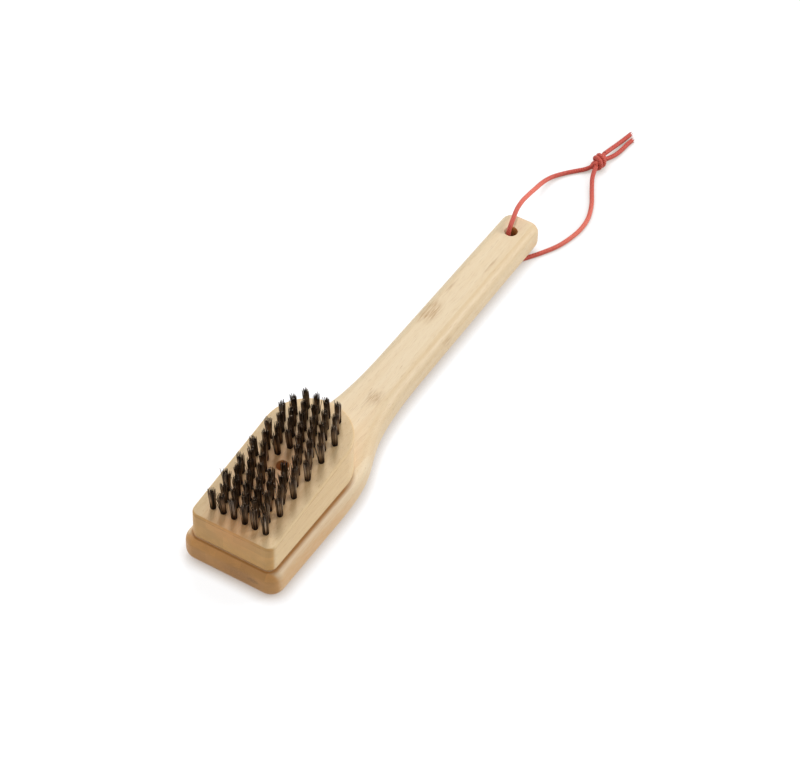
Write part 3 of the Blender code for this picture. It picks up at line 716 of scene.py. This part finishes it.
def board_holes():
    """Cutters for the hanging hole with its broken edges, the screw's pilot hole and the dowel holes."""
    bm = bmesh.new()
    radius = HANGING_HOLE_DIAMETER / 2
    arc = arc_points((radius + HOLE_EDGE_BREAK, HOLE_EDGE_BREAK), HOLE_EDGE_BREAK, 270, 180, steps=6)
    wide = radius + 2 * OVERCUT
    lower = [(wide, -OVERCUT), (wide, 0.0), *arc]
    upper = [(r, BOARD_THICKNESS - z) for r, z in reversed(lower)]
    add_turned(bm, lower + upper, HANGING_HOLE_X)
    top = BOARD_THICKNESS + OVERCUT
    floor = BOARD_THICKNESS + SCREW_SEAT_HEIGHT - SCREW_HOLE_BELOW_SEAT
    add_hole(bm, SCREW_HOLE_DIAMETER, floor, top, Matrix.Translation((SCREW_X, 0.0, 0.0)))
    add_dowel_holes(bm, BOARD_THICKNESS - DOWEL_HOLE_DEPTH, top)
    return finished(bm, "board_holes")


def block_holes():
    """Cutters for the screw's stepped hole, the dowel holes and a drilled hole for each tuft."""
    bm = bmesh.new()
    below = BOARD_THICKNESS - OVERCUT
    seat = BOARD_THICKNESS + SCREW_SEAT_HEIGHT - JOINT_GAP
    above = 0.09
    passage = SCREW_HOLE_DIAMETER / 2
    bore = COUNTERBORE_DIAMETER / 2
    add_turned(bm, [(passage, below), (passage, seat), (bore, seat), (bore, above)], SCREW_X)
    add_dowel_holes(bm, below, BOARD_THICKNESS + DOWEL_HOLE_DEPTH + JOINT_GAP)
    slope = slope_matrix()
    for x, y in (place for places in tuft_rows().values() for place in places):
        place = slope @ Matrix.Translation((x, y, 0.0))
        add_hole(bm, TUFT_HOLE_DIAMETER, -TUFT_HOLE_DEPTH, OVERCUT, place, segments=20)
    return finished(bm, "block_holes")


def heading_vector(azimuth, rise):
    """Unit vector that heads from +X towards +Y by the azimuth and climbs by the rise, in radians."""
    level = math.cos(rise)
    return Vector((math.cos(azimuth) * level, math.sin(azimuth) * level, math.sin(rise)))


class BRUSH_OT_stage(bpy.types.Operator):
    """Make the tabletop, the room light, the lamps and the camera"""

    bl_idname = "brush.stage"
    bl_label = "Stage"

    def execute(self, context):
        settings = context.scene.brush_stage
        self.make_floor(settings)
        self.make_room(context, settings)
        target = Vector(settings.view_target)
        for name, azimuth, rise, size, level in LAMPS:
            direction = heading_vector(math.radians(azimuth), math.radians(rise))
            self.make_lamp(name, target, direction, size, getattr(settings, level))
        self.make_camera(context, settings, target)
        context.scene.view_settings.view_transform = "Standard"
        return {"FINISHED"}

    def make_floor(self, settings):
        bm = bmesh.new()
        bmesh.ops.create_grid(bm, x_segments=8, y_segments=8, size=settings.floor_size / 2)
        floor = add_object("tabletop", finished(bm, "tabletop"))
        floor.data.materials.append(painted_tabletop(settings))

    def make_room(self, context, settings):
        world = bpy.data.worlds.new("white_room")
        world.use_nodes = True
        world.node_tree.nodes.clear()
        add = partial(add_node, world.node_tree)
        level = add("MapRange", seen_by_eye(add), 0.0, 1.0, settings.sky_level, 1.0)
        add("OutputWorld", add("Background", linear("ffffff"), level), out=None)
        context.scene.world = world

    def make_lamp(self, name, target, direction, size, level):
        """A square soft box. At level 1 it alone would make a white card that faces it render white."""
        data = bpy.data.lights.new(name, "AREA")
        data.shape = "SQUARE"
        data.size = size
        data.energy = level * math.pi ** 2 * LAMP_DISTANCE ** 2
        lamp = add_object(name, data)
        lamp.location = target + LAMP_DISTANCE * direction
        lamp.rotation_euler = direction.to_track_quat("Z", "Y").to_euler()

    def make_camera(self, context, settings, target):
        forward = heading_vector(settings.view_azimuth, -settings.view_elevation)
        data = bpy.data.cameras.new("camera")
        data.lens = settings.lens
        data.sensor_width = SENSOR_WIDTH
        data.sensor_fit = "HORIZONTAL"
        data.clip_end = 50.0
        camera = add_object("camera", data)
        camera.location = target - settings.view_distance * forward
        level_view = forward.to_track_quat("-Z", "Y").to_matrix()
        camera.rotation_euler = (level_view @ Matrix.Rotation(settings.view_roll, 3, "Z")).to_euler()
        context.scene.camera = camera


def smooth_route(route):
    """Points on a smooth curve through the route's own points, in metres and about one step apart."""
    knots = [Vector(point) * MM for point in route]
    ends = [2 * knots[0] - knots[1], *knots, 2 * knots[-1] - knots[-2]]
    points = [knots[0]]
    for before, start, end, after in zip(ends, ends[1:], ends[2:], ends[3:]):
        span = (end - start).length
        pull_start = (end - before) / (span + (start - before).length)
        pull_end = (after - start) / ((after - end).length + span)
        count = max(1, round(span / ROUTE_STEP))
        for i in range(1, count + 1):
            t = i / count
            points.append(
                start * (2 * t ** 3 - 3 * t ** 2 + 1) + end * (3 * t ** 2 - 2 * t ** 3)
                + pull_start * span * (t ** 3 - 2 * t ** 2 + t) + pull_end * span * (t ** 3 - t ** 2)
            )
    return np.array(points)


def run_lengths(points):
    """Distances from each point to the next."""
    return np.linalg.norm(np.diff(points, axis=0), axis=1)


def tube_faces(first, rings, sides):
    """Faces of a closed tube whose rings of points follow each other, from the first point on."""
    last = first + (rings - 1) * sides
    faces = []
    for ring in range(first, last, sides):
        for i in range(sides):
            j = (i + 1) % sides
            faces.append((ring + i, ring + j, ring + sides + j, ring + sides + i))
    return [*faces, tuple(reversed(range(first, first + sides))), tuple(range(last, last + sides))]


def smooth_mesh(name, points, faces, plait=None):
    """A smoothly shaded mesh. The plait is each point's height on the braid, for the cord's colour."""
    mesh = bpy.data.meshes.new(name)
    mesh.from_pydata(points, [], faces)
    if plait is not None:
        attribute = mesh.attributes.new("plait", "FLOAT", "POINT")
        attribute.data.foreach_set("value", plait.astype(np.float32))
    mesh.shade_smooth()
    return mesh


def braided_tube(name, runs, settings):
    """A round braid along each run of points: rows of yarns that lean one way round the cord."""
    sides = 28
    yarns_round = 5
    angles = 2 * math.pi * np.arange(sides) / sides
    round_cord = yarns_round * angles / (2 * math.pi)
    vertices = []
    crowns = []
    faces = []
    for points in runs:
        faces += tube_faces(len(vertices) * sides, len(points), sides)
        tangents = np.gradient(points, axis=0)
        tangents /= np.linalg.norm(tangents, axis=1)[:, None]
        normal = Vector(tangents[0]).orthogonal().normalized()
        along = np.concatenate([[0.0], np.cumsum(run_lengths(points))])
        for point, tangent, distance in zip(points, tangents, along):
            tangent = Vector(tangent)
            normal = (normal - tangent * normal.dot(tangent)).normalized()
            side = tangent.cross(normal)
            yarns = np.abs(np.sin(math.pi * (round_cord + distance / settings.yarn_pitch)))
            crossing = np.abs(np.sin(math.pi * (round_cord - distance / (3 * settings.yarn_pitch))))
            crown = yarns * (0.8 + 0.2 * crossing)
            radius = settings.diameter / 2 + settings.yarn_depth * (np.sqrt(crown) - 0.75)
            offsets = np.outer(radius * np.cos(angles), normal) + np.outer(radius * np.sin(angles), side)
            vertices.append(point + offsets)
            crowns.append(crown)
    mesh = smooth_mesh(name, np.concatenate(vertices).tolist(), faces, np.concatenate(crowns))
    mesh.set_sharp_from_angle(angle=math.radians(60))
    return mesh


def knot_run(enters, leaves, start, end):
    """One cord's way through the overhand knot: in along the knot's middle, out at its far side, once round
    it and back through. Start and end are where its turn lies along the knot, in millimetres."""
    low, high = (Vector(corner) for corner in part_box("cord_knot"))
    middle = (low + high) / 2 / MM
    heading = math.radians(KNOT_HEADING)
    forward = Vector((math.cos(heading), math.sin(heading), 0.0))
    left = Vector((-math.sin(heading), math.cos(heading), 0.0))
    up = Vector((0.0, 0.0, 1.0))
    middle -= KNOT_BACK * forward + KNOT_RIGHT * left

    # Each stop's place along the knot, its reach as a share of the turn's, and its angle past the first.
    stops = [(-4.4, 0.50, 180), (-1.5, 0.36, 190), (1.6, 0.36, 250), (start + 0.5, 0.66, 310)]
    for share in (step / 10 for step in range(11)):
        stops.append((start + (end - start) * share, 1.0, 360 + 330 * share))
    stops += [(end - 0.6, 0.62, 740), (1.0, 0.34, 800), (4.4, 0.42, 830)]
    route = [enters]
    for along, reach, angle in stops:
        turn = math.radians(KNOT_FIRST_ANGLE + angle)
        aside = KNOT_HALF_WIDTH * reach * math.cos(turn)
        rise = KNOT_HALF_HEIGHT * reach * math.sin(turn)
        route.append(middle + along * forward + aside * left + rise * up)
    return smooth_route([*route, leaves])


def frayed_end(name, tip, towards, settings, chance):
    """The loose yarns at a cut cord's end: thin, bent fibres that splay by a millimetre or two."""
    sides = 5
    rings = 6
    yarn_radius = 0.0003
    side = towards.orthogonal().normalized()
    other = towards.cross(side)
    rim = [2 * math.pi * i / sides for i in range(sides)]
    rim = [side * math.cos(turn) + other * math.sin(turn) for turn in rim]
    vertices = []
    for _ in range(settings.loose_yarns):
        angle = chance.uniform(0.0, 2 * math.pi)
        outward = side * math.cos(angle) + other * math.sin(angle)
        start = tip + outward * settings.diameter * 0.44 * math.sqrt(chance.random())
        length = chance.uniform(0.5, 1.0) * settings.fray_length
        splay = chance.uniform(0.1, 0.9) * length
        for t in (i / (rings - 1) for i in range(rings)):
            centre = start + towards * length * t + outward * splay * t * t
            radius = yarn_radius * (1.0 - 0.6 * t)
            # A yarn that reaches the table lies on it.
            centre.z = max(centre.z, radius)
            vertices += [tuple(centre + radius * corner) for corner in rim]
    faces = []
    for yarn in range(settings.loose_yarns):
        faces += tube_faces(yarn * rings * sides, rings, sides)
    return smooth_mesh(name, vertices, faces, np.full(len(vertices), 0.6))


class BRUSH_OT_cord(bpy.types.Operator):
    """Make the cord: two strands, the knot that they are tied in, and two tails with frayed ends"""

    bl_idname = "brush.cord"
    bl_label = "Hanging cord"

    def execute(self, context):
        settings = context.scene.brush_cord
        cotton = waxed_cotton(settings)
        chance = np.random.default_rng(seed=11)
        turns = [
            knot_run(UPPER_STRAND_ROUTE[-1], LONG_TAIL_ROUTE[0], start=5.4, end=-1.0),
            knot_run(LOWER_STRAND_ROUTE[-1], SHORT_TAIL_ROUTE[0], start=1.6, end=-5.0),
        ]
        mesh = braided_tube("cord_knot_turns", turns, settings)
        knot = link_piece("cord_knot_turns", mesh, cotton, "waxed_cord", "cord_knot")
        hole_x, hole_y, _ = (c * MM for c in UPPER_STRAND_ROUTE[0])
        board_low, board_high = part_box("handle_board")
        for node, route, height in (
            ("cord_upper_strand", UPPER_STRAND_ROUTE, board_high.z),
            ("cord_lower_strand", LOWER_STRAND_ROUTE, board_low.z),
        ):
            self.lay(settings, cotton, node, route, (hole_x, hole_y, height), [knot])
        for node, route in (("cord_tail_long", LONG_TAIL_ROUTE), ("cord_tail_short", SHORT_TAIL_ROUTE)):
            # The loose yarns start a little inside the cut.
            towards = (Vector(route[-1]) - Vector(route[-2])).normalized()
            tip = Vector(route[-1]) * MM - towards * 0.4 * MM
            mesh = frayed_end(node + "_fray", tip, towards, settings, chance)
            fray = link_piece(node + "_fray", mesh, cotton, "waxed_cord")
            self.lay(settings, cotton, node, route, tuple(c * MM for c in route[0]), [fray])
        return {"FINISHED"}

    def lay(self, settings, material, node, route, leaves, pieces):
        points = smooth_route(route)
        mesh = braided_tube(node + "_braid", [points], settings)
        piece = link_piece(node + "_braid", mesh, material, "waxed_cord", node)


class BRUSH_OT_board(bpy.types.Operator):
    """Make the handle board"""

    bl_idname = "brush.board"
    bl_label = "Handle board"

    def execute(self, context):
        wood = context.scene.brush_wood
        blank = slab("handle_board_bamboo", board_outline(), 0.0, lambda x: BOARD_THICKNESS)
        mesh = round_and_cut(blank, board_holes(), wood.board_edge_round, segments=10)
        top = BOARD_THICKNESS
        # Each mark's centre and reach in metres, its strength and its colour: growth nodes, darker patches
        # on the front, painted shade inside the hanging hole and the deeper flanks of the paddle.
        marks = [
            ((0.2805, 0.0070, top), (0.019, 0.0105, 0.006), 0.8, "a87c42"),
            ((0.1832, -0.005, top), (0.012, 0.009, 0.006), 0.7, "a87f4c"),
            ((0.2672, -0.0155, 0.016), (0.008, 0.006, 0.006), 0.6, "a87f4c"),
            ((0.3112, 0.007, top), (0.014, 0.002, 0.004), 0.6, "a87f4c"),
            ((0.3477, -0.006, top), (0.016, 0.0015, 0.004), 0.6, "a87f4c"),
            ((0.3779, -0.0125, 0.018), (0.006, 0.003, 0.004), 0.6, "a87f4c"),
            ((0.0, -0.0205, 0.0125), (0.006, 0.0075, 0.0028), 0.9, "7c5426"),
            ((0.0, -0.006, 0.012), (0.010, 0.024, 0.012), 0.7, "8f5c26"),
            # Painted shade inside the hanging hole, as in a deep recess.
            ((HANGING_HOLE_X, 0.0, 0.008), (0.009, 0.009, 0.0155), 1.2, "4a3312"),
            ((0.030, -0.040, 0.010), (0.120, 0.012, 0.020), 0.75, "d9a262"),
            ((0.030, 0.040, 0.010), (0.120, 0.012, 0.020), 0.75, "d9a262"),
        ]
        strip_width = 0.0205
        layer_heights = (0.0062, 0.0175)
        colours = (wood.board_light, wood.board_dark, wood.board_end)
        oiled = bamboo("oiled_laminated_bamboo", *colours, strip_width, layer_heights, marks, joint_shade)
        link_wood("handle_board_bamboo", mesh, oiled, "bamboo_handle", "handle_board")
        return {"FINISHED"}


class BRUSH_OT_block(bpy.types.Operator):
    """Make the brush block with its drilled holes"""

    bl_idname = "brush.block"
    bl_label = "Brush block"

    def execute(self, context):
        wood = context.scene.brush_wood
        blank = slab("brush_block_bamboo", block_outline(), BOARD_THICKNESS + JOINT_GAP, block_top)
        mesh = round_and_cut(blank, block_holes(), wood.block_edge_round, segments=6)
        # Painted shade: the dark inside of the counterbore, and a warm tint over the field of tufts, where
        # light comes brown off the wires.
        marks = [
            ((SCREW_X, 0.0, 0.047), (0.0056, 0.0056, 0.03), 1.6, "4a2b13"),
            ((SCREW_X - 0.030, 0.0, 0.052), (0.108, 0.034, 0.030), 0.8, "eda868"),
        ]
        strip_width = 0.0225
        layer_heights = (0.0380,)
        colours = (wood.block_light, wood.block_dark, wood.block_end)
        sanded = bamboo("sanded_laminated_bamboo", *colours, strip_width, layer_heights, marks, rim_line)
        link_wood("brush_block_bamboo", mesh, sanded, "bamboo_block", "brush_block")
        return {"FINISHED"}


def wire_mesh(name, places, settings, chance):
    """The wires of a row of tufts: packed round at the root, spreading, bowed, and worn to uneven lengths.
    The front tufts scrub hardest, so they spread most."""
    sides = 5
    rings = 8
    golden_angle = math.radians(137.508)
    # What chance does to a wire, in metres or, for the stray share and the wear, as a share.
    stray_share = 0.035
    stray_reach = 0.0022
    lean = 0.00035
    scatter = 0.00022
    bend = 0.00014
    wear = 0.075
    sunk = -0.0025
    count = settings.wires
    index = np.arange(count)
    spread = np.sqrt((index + 0.5) / count)[:, None]
    rim = 2 * math.pi * np.arange(sides) / sides
    vertices = []
    for x, y in places:
        angle = index * golden_angle + chance.uniform(0, 2 * math.pi)
        outward = np.stack([np.cos(angle), np.sin(angle)], axis=1)
        middle = np.array([x, y])
        root = middle + outward * spread * settings.root_radius
        front_share = 1.15 - 0.28 * x / BLOCK_LENGTH
        tip = middle + chance.normal(0.0, lean, 2) + outward * spread * settings.tip_radius * front_share
        tip = tip + chance.normal(0.0, scatter, (count, 2))
        stray = chance.random(count) < stray_share
        tip = tip + np.where(stray[:, None], outward * stray_reach, 0.0)
        bow = chance.normal(0.0, bend, (count, 2))
        height = settings.height * (1.02 - np.abs(chance.normal(0.0, wear, count)))
        turned = rim[None, :] + angle[:, None]
        for t in np.linspace(0.0, 1.0, rings):
            centre = root + (tip - root) * t ** 1.25 + bow * math.sin(math.pi * t)
            level = sunk + (height - sunk) * t
            radius = settings.wire_diameter / 2 * (1.0 - 0.55 * t ** 5)
            corner_x = centre[:, :1] + radius * np.cos(turned)
            corner_y = centre[:, 1:] + radius * np.sin(turned)
            corner_z = np.repeat(level[:, None], sides, axis=1)
            vertices.append(np.stack([corner_x, corner_y, corner_z], axis=2))
    # The rings were made tuft by tuft, and each wire's rings have to follow each other.
    vertices = np.array(vertices).reshape(len(places), rings, count, sides, 3).transpose(0, 2, 1, 3, 4)
    faces = []
    for wire in range(len(places) * count):
        faces += tube_faces(wire * rings * sides, rings, sides)
    mesh = smooth_mesh(name, vertices.reshape(-1, 3).tolist(), faces)
    mesh.set_sharp_from_angle(angle=math.radians(80))
    return mesh


class BRUSH_OT_tufts(bpy.types.Operator):
    """Make the wires of every row of tufts"""

    bl_idname = "brush.tufts"
    bl_label = "Wire tufts"

    def execute(self, context):
        settings = context.scene.brush_tufts
        steel = drawn_steel_wire(settings)
        chance = np.random.default_rng(seed=7)
        place = board_matrix() @ slope_matrix()
        for node, places in tuft_rows().items():
            mesh = wire_mesh(node + "_wires", places, settings, chance)
            link_piece(node + "_wires", mesh, steel, "brush_wire", node, place=place)
        return {"FINISHED"}


class BRUSH_OT_fixings(bpy.types.Operator):
    """Finish the screw and the dowels that hold the block to the board"""

    bl_idname = "brush.fixings"
    bl_label = "Screw and dowels"

    def execute(self, context):
        finishes = {"block_screw": zinc_plate()}
        finishes["dowel_front"] = finishes["dowel_rear"] = turned_beech()
        for node, material in finishes.items():
            mesh = frame["nodes"][node].data
            mesh.materials.clear()
            mesh.materials.append(material)
        return {"FINISHED"}


class BRUSH_PT_looks(bpy.types.Panel):
    """Steps and settings of the brush"""

    bl_idname = "BRUSH_PT_looks"
    bl_label = "Grill brush"
    bl_space_type = "VIEW_3D"
    bl_region_type = "UI"
    bl_category = "Brush"

    def draw(self, context):
        for group in SETTINGS:
            box = self.layout.box()
            settings = getattr(context.scene, group)
            for name in settings.__annotations__:
                box.prop(settings, name)
        for operator in OPERATORS:
            self.layout.operator(operator.bl_idname)


SETTINGS = {
    "brush_stage": StageSettings,
    "brush_wood": WoodSettings,
    "brush_tufts": TuftSettings,
    "brush_cord": CordSettings,
}
OPERATORS = (
    BRUSH_OT_stage, BRUSH_OT_cord, BRUSH_OT_board, BRUSH_OT_block, BRUSH_OT_tufts, BRUSH_OT_fixings,
)


def register():
    for item in (*SETTINGS.values(), *OPERATORS, BRUSH_PT_looks):
        bpy.utils.register_class(item)
    for name, group in SETTINGS.items():
        setattr(bpy.types.Scene, name, PointerProperty(type=group))


def unregister():
    for name in SETTINGS:
        delattr(bpy.types.Scene, name)
    for item in reversed((*SETTINGS.values(), *OPERATORS, BRUSH_PT_looks)):
        bpy.utils.unregister_class(item)


def main():
    register()
    bpy.ops.brush.stage()
    bpy.ops.brush.cord()
    bpy.ops.brush.board()
    bpy.ops.brush.block()
    bpy.ops.brush.tufts()
    bpy.ops.brush.fixings()


if __name__ == "__main__":
    main()
